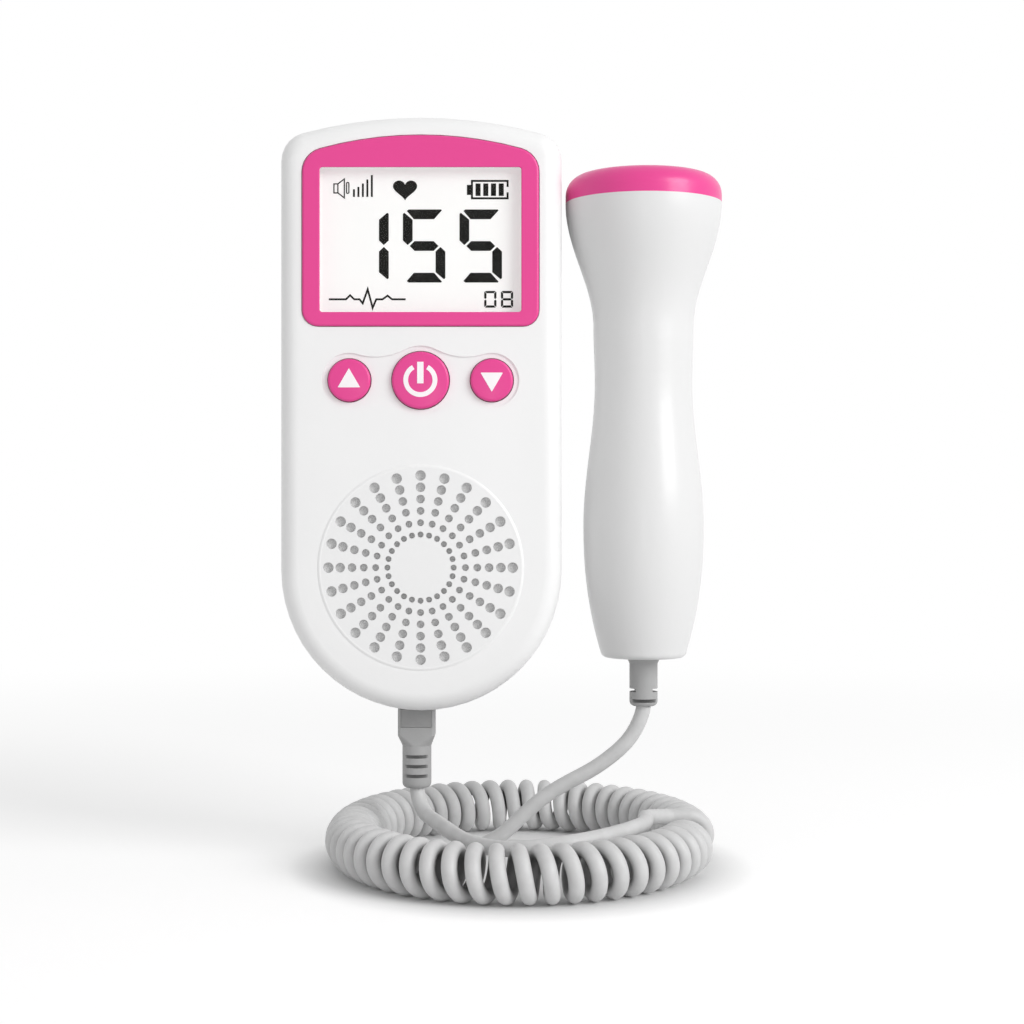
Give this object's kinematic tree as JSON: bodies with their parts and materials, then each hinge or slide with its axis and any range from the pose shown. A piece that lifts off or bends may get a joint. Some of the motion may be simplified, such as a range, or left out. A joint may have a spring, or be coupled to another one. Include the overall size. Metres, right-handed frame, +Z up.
{
  "type": "fetal doppler monitor",
  "caption": "Pocket heartbeat monitor: a flat case with a round foot, arched display, round keys and drilled speaker disc, and a waisted ultrasound probe plugged in by a curly cord.",
  "frame": {"origin": "middle of the monitor's flat back face", "axes": "X to the right and Y away for someone who faces the display, Z up the monitor"},
  "size_m": [0.0994, 0.1044, 0.1679],
  "materials": {
    "shell_white": "satin moulded ABS",
    "trim_pink": "glossy moulded ABS",
    "clear_window": "clear acrylic",
    "lcd_glass": "white reflective display glass",
    "holder_white": "moulded polycarbonate",
    "ribbon_amber": "flexible polyimide",
    "board_green": "glass-fibre board with solder mask",
    "black_plastic": "moulded black plastic",
    "plunger_ivory": "moulded acetal",
    "screw_steel": "plated steel",
    "cloth_grey": "woven dust cloth",
    "basket_steel": "pressed zinc-plated steel",
    "cone_black": "pressed paper",
    "ferrite": "ground ferrite",
    "cell_can": "plain printed film over the can",
    "contact_nickel": "nickel-plated spring steel",
    "crystal_ceramic": "silvered piezo ceramic",
    "backing_epoxy": "filled epoxy",
    "relief_grey": "moulded PVC",
    "pad_grey": "moulded PVC",
    "pin_nickel": "nickel-plated brass",
    "cord_grey": "smooth PVC jacket"
  },
  "bodies": {
    "monitor": {"front_case": "shell_white", "rear_case": "shell_white", "display_bezel": "trim_pink", "display_window": "clear_window", "lcd_panel": "lcd_glass", "lcd_holder": "holder_white", "lcd_ribbon": "ribbon_amber", "main_board": "board_green", "board_parts": "black_plastic", "board_screws": "screw_steel", "switch_bases": "black_plastic", "speaker_grille": "shell_white", "speaker_cloth": "cloth_grey", "speaker_frame": "basket_steel", "speaker_cone": "cone_black", "speaker_magnet": "ferrite", "probe_socket": "black_plastic", "headphone_socket": "black_plastic", "battery_upper": "cell_can", "battery_lower": "cell_can", "battery_contacts": "contact_nickel", "case_screws": "screw_steel"},
    "up_key": {"up_button": "trim_pink", "up_plunger": "plunger_ivory"},
    "power_key": {"power_button": "trim_pink", "power_plunger": "plunger_ivory"},
    "down_key": {"down_button": "trim_pink", "down_plunger": "plunger_ivory"},
    "battery_door": {"battery_cover": "shell_white"},
    "probe_set": {"plug_pin": "pin_nickel", "plug_shell": "relief_grey", "plug_pads": "pad_grey", "plug_relief": "relief_grey", "cord_plug_lead": "cord_grey", "cord_coil": "cord_grey", "cord_probe_lead": "cord_grey", "probe_relief": "relief_grey", "probe_front_shell": "shell_white", "probe_rear_shell": "shell_white", "probe_cap": "trim_pink", "transducer_crystals": "crystal_ceramic", "transducer_backing": "backing_epoxy", "probe_board": "board_green"}
  },
  "joints": [
    {"name": "up_key_press", "type": "slide", "parent": "monitor", "child": "up_key", "axis": [0, 1, 0], "range_m": [0, 0.0008], "stiffness_N_per_m": 800, "springref_m": -0.0004},
    {"name": "power_key_press", "type": "slide", "parent": "monitor", "child": "power_key", "axis": [0, 1, 0], "range_m": [0, 0.0008], "stiffness_N_per_m": 800, "springref_m": -0.0004},
    {"name": "down_key_press", "type": "slide", "parent": "monitor", "child": "down_key", "axis": [0, 1, 0], "range_m": [0, 0.0008], "stiffness_N_per_m": 800, "springref_m": -0.0004},
    {"name": "battery_cover_lift", "type": "slide", "parent": "monitor", "child": "battery_door", "axis": [0, 1, 0], "range_m": [0, 0.012]},
    {"name": "plug_pull", "type": "slide", "parent": "monitor", "child": "probe_set", "axis": [0, 0, -1], "range_m": [0, 0.016]}
  ]
}
